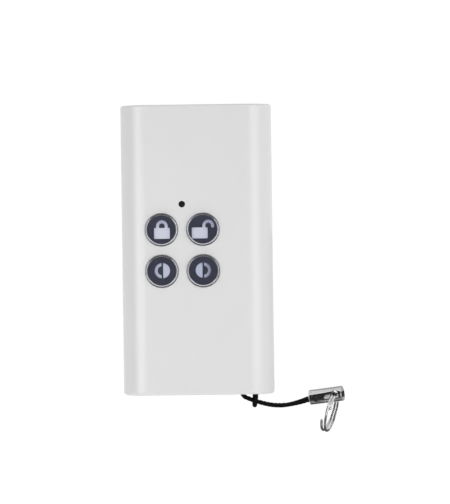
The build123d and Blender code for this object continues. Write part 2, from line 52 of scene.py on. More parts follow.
# The camera looks straight down on the fob, which lies turned a little in the picture
SIGHT_X = 7.12 * MM
SIGHT_Y = -0.69 * MM
SIGHT_Z = 6.5 * MM
CAMERA_DISTANCE = 0.850
PICTURE_HEIGHT = 130.6 * MM
PICTURE_TURN = radians(0.78)
SENSOR = 36.0
CAMERA_CLIP = 10

# Strap cord: its route from the ferrule round the pin and back, in metres, and its braid
CORD_DIAMETER = 1.05 * MM
CORD_ROUTE = [
    (0.03240, -0.03819, 0.00552),
    (0.02890, -0.03867, 0.00457),
    (0.02620, -0.03980, 0.00377),
    (0.02260, -0.04075, 0.00380),
    (0.01920, -0.04068, 0.00506),
    (0.01620, -0.03995, 0.00652),
    (0.01340, -0.03900, 0.00698),
    (0.01085, -0.03790, 0.00708),
    (0.01130, -0.03415, 0.00720),
    (0.01515, -0.03415, 0.00725),
    (0.01440, -0.04050, 0.00812),
    (0.01415, -0.04050, 0.00425),
    (0.01465, -0.03415, 0.00575),
    (0.01130, -0.03415, 0.00580),
    (0.01085, -0.03790, 0.00592),
    (0.01340, -0.03900, 0.00586),
    (0.01620, -0.03995, 0.00528),
    (0.01920, -0.04068, 0.00374),
    (0.02260, -0.04075, 0.00260),
    (0.02620, -0.04010, 0.00263),
    (0.02890, -0.03923, 0.00343),
    (0.03240, -0.03875, 0.00438),
]
CORD_STEPS = 48
CORD_SIDES = 32
BRAID_STRANDS = 4
BRAID_PITCH = 4.4 * MM
BRAID_RELIEF = 0.14 * MM
BRAID_LEVEL = 0.6

# Ferrule and split ring, as the CAD has them apart from edges and the ring's spring and shift
MOUTH = Vector((28.74, -38.83, 4.04)) * MM
FERRULE_TURN = radians(7.6)
FERRULE_TILT = radians(15.0)
FERRULE_DIAMETER = 3.95 * MM
FERRULE_LENGTH = 8.8 * MM
FERRULE_EDGE = 0.10 * MM
FERRULE_MOUTH_EDGE = 0.22 * MM
FERRULE_BORE = 2.9 * MM
FERRULE_BORE_DEPTH = 4.8 * MM
FERRULE_EYE = 2.2 * MM
FERRULE_EYE_INSET = 1.9 * MM
FERRULE_EYE_EDGE = 0.03 * MM
FERRULE_SIDES = 128
BORE_SIDES = 64
RING_RADIUS = 5.0 * MM
RING_WIRE = 0.65 * MM
RING_PITCH = 0.68 * MM
RING_TURN_ANGLE = 688
RING_START_ANGLE = 78
RING_SWING = radians(21.8)
RING_SPRUNG = 0.3 * MM
RING_SPRUNG_FROM = 448
RING_SHIFT = 0.24 * MM
RING_SEAT = 0.2 * MM
RING_STEPS = 172
RING_SIDES = 6
# Rounded wire end: the share of the tip's length, and how wide the wire is there
RING_TIP = ((0.0, 0.02), (0.04, 0.28), (0.16, 0.54), (0.4, 0.8), (0.7, 0.95))

BARREL_WAY = Vector((
    cos(FERRULE_TILT) * cos(FERRULE_TURN), cos(FERRULE_TILT) * sin(FERRULE_TURN), sin(FERRULE_TILT),
))
EYE_WAY = Vector((
    -sin(FERRULE_TILT) * cos(FERRULE_TURN), -sin(FERRULE_TILT) * sin(FERRULE_TURN), cos(FERRULE_TILT),
))
LEVEL_WAY = Vector((sin(FERRULE_TURN), -cos(FERRULE_TURN), 0))
EYE_CENTRE = MOUTH + BARREL_WAY * (FERRULE_LENGTH - FERRULE_EYE_INSET)

# Keys: a flanged cap with a rim that slopes in to the face, a little steeper than in the CAD
KEY_FLANGE_DIAMETER = 9.8 * MM
KEY_FLANGE_HEIGHT = 0.55 * MM
KEY_CAP_DIAMETER = 8.3 * MM
KEY_LIP = 0.19 * MM
KEY_RIM_SLOPE = 0.27 * MM
KEY_RIM_ANGLE = radians(57)
KEY_POCKET_DEPTH = 0.7 * MM
KEY_SOFT_EDGE = 0.04 * MM
KEY_SIDES = 128

# How finely edges are rounded, which edges are, and up to which angle faces shade as one
END_SEGMENTS = 5
EYE_SEGMENTS = 2
EYE_EDGE_ANGLE = 50
KEY_SEGMENTS = 3
KEY_EDGE_ANGLE = 25
TURNED_ANGLE = 35
WIRE_ANGLE = 60
SHELL_ANGLE = 30
MERGE_GAP = 0.001 * MM

# Circuit board: the fields of copper tracks under the solder mask, and the vias
BOARD_TRACK_FIELD = 9.0 * MM
BOARD_TRACK_PITCH = 0.8 * MM
BOARD_TRACK_WIDTH = 0.16 * MM
BOARD_TRACK_FADE = 1.3
BOARD_TRACK_DEPTH = 0.02 * MM
BOARD_MASK = (0.010, 0.075, 0.036)
BOARD_TRACK = (0.026, 0.135, 0.066)
BOARD_VIA_SPREAD = 2.4 * MM
BOARD_VIA_RIM = (0.07, 0.10)
BOARD_VIA = (0.62, 0.52, 0.30)
BOARD_GRAIN = 0.4 * MM
BOARD_SMOOTH, BOARD_ROUGH = 0.24, 0.38


def add_camera():
    """The camera of the photograph, far off and straight above."""
    camera_data = bpy.data.cameras.new("camera")
    camera_data.sensor_width = SENSOR
    camera_data.lens = SENSOR * CAMERA_DISTANCE / PICTURE_HEIGHT
    camera_data.clip_end = CAMERA_CLIP
    camera = bpy.data.objects.new("camera", camera_data)
    bpy.context.scene.collection.objects.link(camera)
    camera.location = (SIGHT_X, SIGHT_Y, SIGHT_Z + CAMERA_DISTANCE)
    camera.rotation_euler = (0, 0, -PICTURE_TURN)
    bpy.context.scene.camera = camera


def strap_line():
    """The cord's smooth centre line, as points read from the route's NURBS spline."""
    route = bpy.data.curves.new("strap_route", "CURVE")
    route.dimensions = "3D"
    spline = route.splines.new("NURBS")
    spline.points.add(len(CORD_ROUTE) - 1)
    for point, place in zip(spline.points, CORD_ROUTE):
        point.co = (*place, 1)
    spline.order_u = 3
    spline.use_endpoint_u = True
    spline.resolution_u = CORD_STEPS
    holder = bpy.data.objects.new("strap_route", route)
    bpy.context.scene.collection.objects.link(holder)
    bpy.context.view_layer.update()
    line = bpy.data.meshes.new_from_object(holder)
    points = [vertex.co.copy() for vertex in line.vertices]
    bpy.data.objects.remove(holder)
    bpy.data.curves.remove(route)
    bpy.data.meshes.remove(line)
    return points


def braided_tube(name, points):
    """A tube along the points whose skin has the relief of a round braid."""
    turns = BRAID_STRANDS * 2 * pi / BRAID_PITCH
    verts, faces, uvs = [], [], []
    normal = (points[1] - points[0]).orthogonal().normalized()
    travelled = 0.0
    for index, point in enumerate(points):
        ahead = points[min(index + 1, len(points) - 1)]
        behind = points[max(index - 1, 0)]
        way = (ahead - behind).normalized()
        normal = (normal - way * normal.dot(way)).normalized()
        side = way.cross(normal)
        if index:
            travelled += (point - points[index - 1]).length
        for step in range(CORD_SIDES):
            angle = 2 * pi * step / CORD_SIDES
            one = sin(BRAID_STRANDS * angle + turns * travelled)
            other = sin(BRAID_STRANDS * angle - turns * travelled)
            reach = CORD_DIAMETER / 2 + BRAID_RELIEF * (max(one, other) - BRAID_LEVEL)
            verts.append(point + normal * (reach * cos(angle)) + side * (reach * sin(angle)))
        if index:
            for step in range(CORD_SIDES):
                beside = (step + 1) % CORD_SIDES
                row, last = index * CORD_SIDES, (index - 1) * CORD_SIDES
                faces.append((last + step, last + beside, row + beside, row + step))
                around = (step / CORD_SIDES, (step + 1) / CORD_SIDES)
                along = (travelled / CORD_DIAMETER / pi,)
                before = ((travelled - (point - points[index - 1]).length) / CORD_DIAMETER / pi,)
                uvs += [(around[0], *before), (around[1], *before), (around[1], *along), (around[0], *along)]
    for row, turned in ((0, True), (len(points) - 1, False)):
        loop = [row * CORD_SIDES + step for step in range(CORD_SIDES)]
        faces.append(tuple(reversed(loop)) if turned else tuple(loop))
        uvs += [(0.5, 0.5)] * CORD_SIDES
    mesh = bpy.data.meshes.new(name)
    mesh.from_pydata(verts, [], faces)
    layer = mesh.uv_layers.new(name="UVMap")
    for entry, uv in zip(layer.data, uvs):
        entry.uv = uv
    piece = bpy.data.objects.new(name, mesh)
    bpy.context.scene.collection.objects.link(piece)
    for polygon in mesh.polygons:
        polygon.use_smooth = len(polygon.vertices) == 4
    return piece


def pick(piece):
    """Make one piece the only selected and active one."""
    bpy.ops.object.select_all(action="DESELECT")
    piece.select_set(True)
    bpy.context.view_layer.objects.active = piece


def settle(piece, body, slot, *replaced):
    """Hang a finished piece on its body's empty and hide the CAD nodes that it replaces; slot is not used.
    """
    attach(piece, body)
    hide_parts(*replaced)


def make_place_final(piece):
    """Write a piece's place, turn and size into its mesh."""
    pick(piece)
    bpy.ops.object.transform_apply(location=True, rotation=True, scale=True)


def smooth_by_angle(piece, degrees):
    """Shade faces as one where they meet at less than the angle."""
    pick(piece)
    bpy.ops.object.shade_smooth_by_angle(angle=radians(degrees))


def soften(piece, width, segments, degrees):
    """Round a piece's sharp edges."""
    bevel = piece.modifiers.new("soft_edge", "BEVEL")
    bevel.width = width
    bevel.segments = segments
    bevel.limit_method = "ANGLE"
    bevel.angle_limit = radians(degrees)
    bevel.harden_normals = False
    pick(piece)
    bpy.ops.object.modifier_apply(modifier=bevel.name)


def drill(piece, centre, way, diameter, depth):
    """Bore a round hole from a centre, as deep as said, along a direction."""
    bpy.ops.object.select_all(action="DESELECT")
    bpy.ops.mesh.primitive_cylinder_add(vertices=BORE_SIDES, radius=diameter / 2, depth=depth)
    cutter = bpy.context.object
    cutter.matrix_world = Matrix.Translation(centre) @ way.to_track_quat("Z", "Y").to_matrix().to_4x4()
    cut = piece.modifiers.new("bore", "BOOLEAN")
    cut.operation = "DIFFERENCE"
    cut.solver = "EXACT"
    cut.object = cutter
    pick(piece)
    bpy.ops.object.modifier_apply(modifier=cut.name)
    bpy.data.objects.remove(cutter)


def round_end(barrel, way, width):
    """Round the edge of the flat end that faces a direction."""
    pick(barrel)
    bpy.ops.object.mode_set(mode="EDIT")
    bpy.ops.mesh.select_mode(type="FACE")
    bpy.ops.mesh.select_all(action="DESELECT")
    bpy.ops.object.mode_set(mode="OBJECT")
    end = max(barrel.data.polygons, key=lambda face: face.normal.dot(way))
    end.select = True
    bpy.ops.object.mode_set(mode="EDIT")
    bpy.ops.mesh.bevel(offset=width, segments=END_SEGMENTS, affect="EDGES")
    bpy.ops.object.mode_set(mode="OBJECT")


def make_ferrule():
    """The bright barrel on the strap, bored for the cord and crossed by its eye."""
    bpy.ops.object.select_all(action="DESELECT")
    bpy.ops.mesh.primitive_cylinder_add(
        vertices=FERRULE_SIDES, radius=FERRULE_DIAMETER / 2, depth=FERRULE_LENGTH,
    )
    ferrule = bpy.context.object
    ferrule.name = "strap_ferrule_barrel"
    middle = MOUTH + BARREL_WAY * (FERRULE_LENGTH / 2)
    ferrule.matrix_world = (
        Matrix.Translation(middle) @ BARREL_WAY.to_track_quat("Z", "Y").to_matrix().to_4x4()
    )
    make_place_final(ferrule)
    round_end(ferrule, BARREL_WAY, FERRULE_EDGE)
    round_end(ferrule, -BARREL_WAY, FERRULE_MOUTH_EDGE)
    drill(ferrule, MOUTH, BARREL_WAY, FERRULE_BORE, 2 * FERRULE_BORE_DEPTH)
    drill(ferrule, EYE_CENTRE, EYE_WAY, FERRULE_EYE, 2 * FERRULE_DIAMETER)
    soften(ferrule, FERRULE_EYE_EDGE, EYE_SEGMENTS, EYE_EDGE_ANGLE)
    smooth_by_angle(ferrule, TURNED_ANGLE)
    return ferrule


def ring_point(angle):
    """A point of the ring's wire, by the angle from its first end along the wire."""
    ring_way = LEVEL_WAY * cos(RING_SWING) - BARREL_WAY * sin(RING_SWING)
    ring_axis = EYE_WAY.cross(ring_way)
    centre = EYE_CENTRE + ring_way * (RING_RADIUS - RING_SEAT)
    place = radians(RING_START_ANGLE - angle)
    along = RING_PITCH * (RING_TURN_ANGLE / 2 - angle) / 360 - RING_SHIFT
    sprung_share = max(0, angle - RING_SPRUNG_FROM) / (RING_TURN_ANGLE - RING_SPRUNG_FROM)
    along -= RING_SPRUNG * sprung_share
    return (
        centre - ring_way * (RING_RADIUS * cos(place)) + EYE_WAY * (RING_RADIUS * sin(place))
        + ring_axis * along
    )


def make_split_ring():
    """Two turns of bright wire with rounded ends."""
    tip = RING_WIRE / 2
    degrees_per_metre = 180 / pi / RING_RADIUS
    angles, widths = [], []
    for share, width in RING_TIP:
        angles.append(share * tip * degrees_per_metre)
        widths.append(width)
    first, last = tip * degrees_per_metre, RING_TURN_ANGLE - tip * degrees_per_metre
    for step in range(RING_STEPS + 1):
        angles.append(first + (last - first) * step / RING_STEPS)
        widths.append(1.0)
    for share, width in reversed(RING_TIP):
        angles.append(RING_TURN_ANGLE - share * tip * degrees_per_metre)
        widths.append(width)
    wire = bpy.data.curves.new("ring_wire", "CURVE")
    wire.dimensions = "3D"
    wire.bevel_depth = tip
    wire.bevel_resolution = RING_SIDES
    wire.use_fill_caps = True
    spline = wire.splines.new("POLY")
    spline.points.add(len(angles) - 1)
    for point, angle, width in zip(spline.points, angles, widths):
        point.co = (*ring_point(angle), 1)
        point.radius = width
    ring = bpy.data.objects.new("split_ring_wire", wire)
    bpy.context.scene.collection.objects.link(ring)
    pick(ring)
    bpy.ops.object.convert(target="MESH")
    ring = bpy.context.object
    smooth_by_angle(ring, WIRE_ANGLE)
    return ring


def select_top(piece):
    """In edit mode, select only the highest flat face."""
    bpy.ops.mesh.select_all(action="DESELECT")
    bpy.ops.object.mode_set(mode="OBJECT")
    top = max(piece.data.polygons, key=lambda face: (round(face.center.z, 7), face.normal.z))
    top.select = True
    bpy.ops.object.mode_set(mode="EDIT")


def key_middle(name):
    """The middle of a key's underside."""
    low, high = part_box(f"key_{name}")
    return Vector(((low[0] + high[0]) / 2, (low[1] + high[1]) / 2, low[2]))


def make_key_cap(name):
    """A key's bright cap: flange, round wall, lip, and a rim that slopes in to a pocket."""
    low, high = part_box(f"key_{name}")
    bpy.ops.object.select_all(action="DESELECT")
    bpy.ops.mesh.primitive_cylinder_add(
        vertices=KEY_SIDES, radius=KEY_FLANGE_DIAMETER / 2, depth=KEY_FLANGE_HEIGHT,
        location=key_middle(name) + Vector((0, 0, KEY_FLANGE_HEIGHT / 2)),
    )
    cap = bpy.context.object
    cap.name = f"key_{name}_cap"
    make_place_final(cap)
    bpy.ops.object.mode_set(mode="EDIT")
    bpy.ops.mesh.select_mode(type="FACE")
    select_top(cap)
    bpy.ops.mesh.inset(thickness=(KEY_FLANGE_DIAMETER - KEY_CAP_DIAMETER) / 2)
    rise = high[2] - low[2] - KEY_FLANGE_HEIGHT
    bpy.ops.mesh.extrude_region_move(TRANSFORM_OT_translate={"value": (0, 0, rise)})
    bpy.ops.mesh.inset(thickness=KEY_LIP)
    bpy.ops.mesh.inset(thickness=KEY_RIM_SLOPE)
    slope_depth = KEY_RIM_SLOPE / tan(KEY_RIM_ANGLE)
    bpy.ops.transform.translate(value=(0, 0, -slope_depth))
    pocket_depth = KEY_POCKET_DEPTH - slope_depth
    bpy.ops.mesh.extrude_region_move(TRANSFORM_OT_translate={"value": (0, 0, -pocket_depth)})
    bpy.ops.object.mode_set(mode="OBJECT")
    soften(cap, KEY_SOFT_EDGE, KEY_SEGMENTS, KEY_EDGE_ANGLE)
    smooth_by_angle(cap, TURNED_ANGLE)
    return cap


def make_key_caps():
    """One cap, modelled for the first key and copied to the others."""
    first = make_key_cap(KEY_NAMES[0])
    caps = {KEY_NAMES[0]: first}
    for name in KEY_NAMES[1:]:
        cap = bpy.data.objects.new(f"key_{name}_cap", first.data.copy())
        bpy.context.scene.collection.objects.link(cap)
        cap.location = key_middle(name) - key_middle(KEY_NAMES[0])
        make_place_final(cap)
        caps[name] = cap
    for name, cap in caps.items():
        settle(cap, f"{name}_key", "key_rim", f"key_{name}")
    return caps


def smooth_copy(name, body, slot):
    """The same shape as a CAD node, merged and smoothly shaded."""
    source = nodes[name]
    piece = bpy.data.objects.new(f"{name}_body", source.data.copy())
    bpy.context.scene.collection.objects.link(piece)
    pick(piece)
    if piece.data.has_custom_normals:
        bpy.ops.mesh.customdata_custom_splitnormals_clear()
    bpy.ops.object.mode_set(mode="EDIT")
    bpy.ops.mesh.select_all(action="SELECT")
    bpy.ops.mesh.remove_doubles(threshold=MERGE_GAP)
    bpy.ops.object.mode_set(mode="OBJECT")
    smooth_by_angle(piece, SHELL_ANGLE)
    settle(piece, body, slot, name)
    return piece


# Between these two levels, noise goes from one colour or roughness to the other. The colour of a
# metal's streaks starts a little later.
NOISE_LOW, NOISE_HIGH = 0.3, 0.7
STREAK_LOW = 0.35


class Finish:
    """A material's node tree with short ways to add nodes to it."""

    def __init__(self, name):
        self.material = bpy.data.materials.new(name)
        self.material.use_nodes = True
        self.tree = self.material.node_tree
        self.shader = self.tree.nodes["Principled BSDF"]

    def set(self, **values):
        """Set the shader's own sockets, by name."""
        for key, value in values.items():
            socket = self.shader.inputs[key.replace("_", " ")]
            socket.default_value = (*value, 1) if isinstance(value, tuple) else value
        return self

    def node(self, kind, **settings):
        node = self.tree.nodes.new(kind)
        for key, value in settings.items():
            setattr(node, key, value)
        return node

    def link(self, output, target):
        self.tree.links.new(output, target)

    def place(self, source="Object", centre=(0, 0, 0), scale=(1, 1, 1)):
        """Coordinates in metres, moved so that centre is the middle."""
        coordinates = self.node("ShaderNodeTexCoord")
        mapping = self.node("ShaderNodeMapping")
        mapping.inputs["Location"].default_value = tuple(-c * s for c, s in zip(centre, scale))
        mapping.inputs["Scale"].default_value = scale
        self.link(coordinates.outputs[source], mapping.inputs["Vector"])
        return mapping.outputs["Vector"]

    def noise(self, place, size, detail=2.0, roughness=0.5):
        """Noise whose blotches are about as large as the size, in metres."""
        noise = self.node("ShaderNodeTexNoise")
        noise.inputs["Scale"].default_value = 1 / size
        noise.inputs["Detail"].default_value = detail
        noise.inputs["Roughness"].default_value = roughness
        self.link(place, noise.inputs["Vector"])
        return noise.outputs["Fac"]

    def ramp(self, value, *stops):
        """Colours along a value; each stop is a position and a colour."""
        ramp = self.node("ShaderNodeValToRGB")
        elements = ramp.color_ramp.elements
        while len(elements) < len(stops):
            elements.new(0.5)
        for element, (position, colour) in zip(elements, stops):
            element.position = position
            element.color = (*colour, 1)
        self.link(value, ramp.inputs["Fac"])
        return ramp.outputs["Color"]

    def span(self, value, low, high, to_low, to_high):
        """Map a value from one range to another."""
        span = self.node("ShaderNodeMapRange")
        for key, number in (("From Min", low), ("From Max", high), ("To Min", to_low), ("To Max", to_high)):
            span.inputs[key].default_value = number
        self.link(value, span.inputs["Value"])
        return span.outputs["Result"]

    def over(self, share, below, colour):
        """Lay a colour over another one, as much as the share says."""
        mix = self.node("ShaderNodeMix", data_type="RGBA")
        sockets = {socket.name: socket for socket in mix.inputs if socket.enabled}
        self.link(share, sockets["Factor"])
        self.link(below, sockets["A"])
        sockets["B"].default_value = (*colour, 1)
        return next(socket for socket in mix.outputs if socket.enabled)

    def bump(self, height, distance, strength=1.0):
        bump = self.node("ShaderNodeBump")
        bump.inputs["Distance"].default_value = distance
        bump.inputs["Strength"].default_value = strength
        self.link(height, bump.inputs["Height"])
        self.link(bump.outputs["Normal"], self.shader.inputs["Normal"])

    def colour(self, output):
        self.link(output, self.shader.inputs["Base Color"])

    def rough(self, output):
        self.link(output, self.shader.inputs["Roughness"])


def tint(colour, factor):
    """A lighter or darker version of a colour."""
    return tuple(channel * factor for channel in colour)


# Plastic: the size of its blotches, and how much its roughness goes up and down
PLASTIC_MOTTLE = 6 * MM
PLASTIC_UNEVEN = 0.04


def moulded(name, colour, roughness, grain=0.12 * MM, depth=0.004 * MM, spread=0.03):
    """Moulded plastic: an even colour with faint mottling and a fine satin grain."""
    finish = Finish(name).set(Roughness=roughness)
    place = finish.place()
    mottle = finish.noise(place, PLASTIC_MOTTLE, 3)
    finish.colour(finish.ramp(
        mottle, (NOISE_LOW, tint(colour, 1 - spread)), (NOISE_HIGH, tint(colour, 1 + spread)),
    ))
    fine = finish.noise(place, grain, 2)
    finish.rough(finish.span(
        fine, NOISE_LOW, NOISE_HIGH, roughness - PLASTIC_UNEVEN, roughness + PLASTIC_UNEVEN,
    ))
    finish.bump(fine, depth)
    return finish.material


# Metal: how dark and bright its streaks are, and how smooth and rough, as shares of the whole
STREAK_DARK, STREAK_BRIGHT = 0.93, 1.04
STREAK_SMOOTH, STREAK_ROUGH = 0.8, 1.25


def metal(name, colour, roughness, grain=(1, 1, 1), scratch=0.3 * MM, depth=0.001 * MM):
    """Bare or plated metal with a faint grain, stretched along one axis if brushed."""
    finish = Finish(name).set(Metallic=1.0, Roughness=roughness)
    place = finish.place(scale=grain)
    streaks = finish.noise(place, scratch, 4, 0.6)
    finish.colour(finish.ramp(
        streaks, (STREAK_LOW, tint(colour, STREAK_DARK)), (NOISE_HIGH, tint(colour, STREAK_BRIGHT)),
    ))
    finish.rough(finish.span(
        streaks, NOISE_LOW, NOISE_HIGH, roughness * STREAK_SMOOTH, roughness * STREAK_ROUGH,
    ))
    finish.bump(streaks, depth)
    return finish.material


KEY_FACE_NAVY = (0.034, 0.036, 0.060)
KEY_FACE_DARK, KEY_FACE_BRIGHT = 0.9, 1.12
KEY_FACE_MOTTLE = 2.5 * MM
KEY_FACE_GRAIN = 0.1 * MM
KEY_FACE_SMOOTH, KEY_FACE_ROUGH = 0.22, 0.34
KEY_FACE_DEPTH = 0.0015 * MM


def key_face_material():
    """Deep blue gloss plastic, a little uneven."""
    finish = Finish("key_face_navy").set(Roughness=0.28)
    place = finish.place()
    mottle = finish.noise(place, KEY_FACE_MOTTLE, 3)
    finish.colour(finish.ramp(
        mottle, (NOISE_LOW, tint(KEY_FACE_NAVY, KEY_FACE_DARK)),
        (NOISE_HIGH, tint(KEY_FACE_NAVY, KEY_FACE_BRIGHT)),
    ))
    fine = finish.noise(place, KEY_FACE_GRAIN, 2)
    finish.rough(finish.span(fine, NOISE_LOW, NOISE_HIGH, KEY_FACE_SMOOTH, KEY_FACE_ROUGH))
    finish.bump(fine, KEY_FACE_DEPTH)
    return finish.material


# Symbols: a painted glow, brighter round a middle and lighter on some keys than others: how far it reaches,
# the share of that up to which it holds and how much of it is left there, then the colour in the middle and
# at the border, and where the middle lies on a key
SYMBOL_GLOW_REACH = 3.1 * MM
SYMBOL_HOLD = (0.45, 0.97)
SYMBOL_GRAIN = 0.15 * MM
SYMBOL_DEPTH = 0.0015 * MM
SYMBOL_PAINTED_GLOW = {
    "arm": ((0.615, 0.63, 0.74), (0.35, 0.36, 0.50)),
    "disarm": ((0.60, 0.61, 0.725), (0.31, 0.32, 0.44)),
    "part_left": ((0.49, 0.52, 0.65), (0.15, 0.16, 0.25)),
    "part_right": ((0.44, 0.475, 0.63), (0.115, 0.125, 0.21)),
}
SYMBOL_GLOW_MIDDLE = {
    "arm": (0.15 * MM, -0.9 * MM), "disarm": (-0.8 * MM, -0.9 * MM),
    "part_left": (0.5 * MM, 0.1 * MM), "part_right": (-0.9 * MM, 0.1 * MM),
}


def symbol_material(name, centre, middle, border):
    """A light symbol with a painted glow: its colour is brighter round its centre than out at its reach."""
    finish = Finish(f"key_symbol_{name}").set(Roughness=0.35)
    place = finish.place(centre=centre)
    far = finish.node("ShaderNodeVectorMath", operation="LENGTH")
    flat = finish.node("ShaderNodeVectorMath", operation="MULTIPLY")
    flat.inputs[1].default_value = (1, 1, 0)
    finish.link(place, flat.inputs[0])
    finish.link(flat.outputs["Vector"], far.inputs[0])
    spread = finish.span(far.outputs["Value"], 0, SYMBOL_GLOW_REACH, 0, 1)
    hold, left = SYMBOL_HOLD
    # Painted glow: the colour falls from the bright middle to the darker border
    finish.colour(finish.ramp(spread, (0.0, middle), (hold, tint(middle, left)), (1.0, border)))
    finish.bump(finish.noise(finish.place(), SYMBOL_GRAIN, 2), SYMBOL_DEPTH)
    return finish.material


YARN_SCALE = (60, 30, 1)
YARN_BLACK, YARN_SHEEN = (0.0012, 0.0012, 0.0012), (0.006, 0.006, 0.006)
YARN_SHEEN_FROM = 0.75
YARN_SMOOTH, YARN_ROUGH = 0.5, 0.75
YARN_DEPTH = 0.02 * MM
YARN_STRENGTH = 0.6


def braid_material():
    """Black synthetic yarn with a faint sheen along its strands."""
    finish = Finish("strap_braid").set(Roughness=0.7, Specular_IOR_Level=0.12)
    place = finish.place("UV", scale=YARN_SCALE)
    yarn = finish.noise(place, 1.0, 3)
    finish.colour(finish.ramp(yarn, (NOISE_LOW, YARN_BLACK), (YARN_SHEEN_FROM, YARN_SHEEN)))
    finish.rough(finish.span(yarn, NOISE_LOW, NOISE_HIGH, YARN_SMOOTH, YARN_ROUGH))
    finish.bump(yarn, YARN_DEPTH, YARN_STRENGTH)
    return finish.material


def board_material():
    """Green solder mask over copper tracks, dotted with small plated vias."""
    finish = Finish("board_solder_mask").set(Roughness=0.3)
    place = finish.place()
    ways = finish.node("ShaderNodeTexVoronoi", distance="MANHATTAN")
    ways.inputs["Scale"].default_value = 1 / BOARD_TRACK_FIELD
    finish.link(place, ways.inputs["Vector"])
    rows = finish.node("ShaderNodeMath", operation="PINGPONG")
    finish.link(ways.outputs["Distance"], rows.inputs[0])
    rows.inputs[1].default_value = BOARD_TRACK_PITCH / BOARD_TRACK_FIELD
    track_edge = BOARD_TRACK_WIDTH / BOARD_TRACK_FIELD
    tracks = finish.span(rows.outputs[0], track_edge, BOARD_TRACK_FADE * track_edge, 1, 0)
    mask = finish.ramp(tracks, (0.0, BOARD_MASK), (1.0, BOARD_TRACK))
    vias = finish.node("ShaderNodeTexVoronoi")
    vias.inputs["Scale"].default_value = 1 / BOARD_VIA_SPREAD
    finish.link(place, vias.inputs["Vector"])
    plated = finish.span(vias.outputs["Distance"], *BOARD_VIA_RIM, 1, 0)
    finish.colour(finish.over(plated, mask, BOARD_VIA))
    finish.link(plated, finish.shader.inputs["Metallic"])
    fine = finish.noise(place, BOARD_GRAIN, 2)
    finish.rough(finish.span(fine, NOISE_LOW, NOISE_HIGH, BOARD_SMOOTH, BOARD_ROUGH))
    finish.bump(tracks, BOARD_TRACK_DEPTH)
    return finish.material


LENS_CLOUD = 0.8 * MM
LENS_DARK, LENS_LIGHT = (0.010, 0.010, 0.011), (0.018, 0.018, 0.020)


def lens_material():
    """Smoked clear plastic over the status light."""
    finish = Finish("smoked_lens").set(Roughness=0.12, IOR=1.49)
    place = finish.place()
    cloud = finish.noise(place, LENS_CLOUD, 2)
    finish.colour(finish.ramp(cloud, (NOISE_LOW, LENS_DARK), (NOISE_HIGH, LENS_LIGHT)))
    return finish.material


add_camera()

cord_points = strap_line()
strap = braided_tube("strap_cord_braid", cord_points)
settle(strap, "case", "cord", "strap_cord")
ferrule = make_ferrule()
settle(ferrule, "case", "bright_metal", "strap_ferrule")
ring = make_split_ring()
settle(ring, "ring", "ring", "split_ring")

front = smooth_copy("front_shell", "case", "case")
rear = smooth_copy("rear_shell", "rear_cover", "case")
caps = make_key_caps()

CHROME = metal("ferrule_chrome", (0.80, 0.80, 0.81), roughness=0.045, depth=0.0)
RING_METAL = metal("ring_chrome", (0.78, 0.78, 0.79), roughness=0.06, depth=0.0)
FINISHES = {
    "case": moulded(
        "case_white", (0.765, 0.765, 0.765), roughness=0.30, grain=0.10 * MM, depth=0.003 * MM, spread=0.006,
    ),
    "key_rim": metal("key_rim_bright", (0.78, 0.78, 0.83), roughness=0.16, depth=0.0005 * MM),
    "key_face": key_face_material(),
    "membrane": moulded(
        "membrane_silicone", (0.075, 0.08, 0.09),
        roughness=0.6, grain=0.3 * MM, depth=0.006 * MM, spread=0.08,
    ),
    "lens": lens_material(),
    "led": moulded(
        "led_resin", (0.68, 0.69, 0.60), roughness=0.25, grain=0.2 * MM, depth=0.001 * MM, spread=0.05,
    ),
    "board": board_material(),
    "chip": moulded(
        "chip_black", (0.012, 0.012, 0.013), roughness=0.5, grain=0.06 * MM, depth=0.004 * MM, spread=0.1,
    ),
    "can": metal("crystal_can", (0.62, 0.62, 0.60), roughness=0.3, grain=(1, 6, 6)),
    "antenna": metal("antenna_plated", (0.72, 0.50, 0.24), roughness=0.3, grain=(4, 4, 1)),
    "cell": metal("cell_nickel", (0.66, 0.66, 0.64), roughness=0.26, grain=(1, 9, 1)),
    "holder": moulded(
        "holder_black", (0.014, 0.014, 0.015), roughness=0.45, grain=0.1 * MM, depth=0.005 * MM, spread=0.1,
    ),
    "contact": metal("contact_strip", (0.66, 0.64, 0.58), roughness=0.24, grain=(8, 1, 1)),
    "screw": metal("screw_zinc", (0.60, 0.60, 0.61), roughness=0.32, grain=(1, 1, 3)),
    "pin": metal("pin_ground", (0.64, 0.64, 0.65), roughness=0.22, grain=(1, 1, 8)),
    "switch": moulded(
        "switch_black", (0.02, 0.02, 0.02), roughness=0.5, grain=0.08 * MM, depth=0.004 * MM, spread=0.1,
    ),
    "plunger": moulded(
        "plunger_ivory", (0.60, 0.57, 0.48), roughness=0.4, grain=0.1 * MM, depth=0.003 * MM, spread=0.04,
    ),
    "cord": braid_material(),
    "bright_metal": CHROME,
    "ring": RING_METAL,
}

def dress(piece, material):
    """Give a piece one material."""
    piece.data.materials.clear()
    piece.data.materials.append(material)


for row in frame["record"]["subparts"]:
    if row["material_slot"] != "key_symbol":
        dress(nodes[row["node"]], FINISHES[row["material_slot"]])
for name in KEY_NAMES:
    place, shift = key_middle(name), SYMBOL_GLOW_MIDDLE[name]
    centre = (place.x + shift[0], place.y + shift[1], 0)
    # Each key's symbol gets its own painted glow, brighter on the arm and disarm keys
    middle, border = SYMBOL_PAINTED_GLOW[name]
    dress(nodes[f"icon_{name}"], symbol_material(name, centre, middle, border))
    dress(caps[name], FINISHES["key_rim"])
dress(front, FINISHES["case"])
dress(rear, FINISHES["case"])
dress(strap, FINISHES["cord"])
dress(ferrule, CHROME)
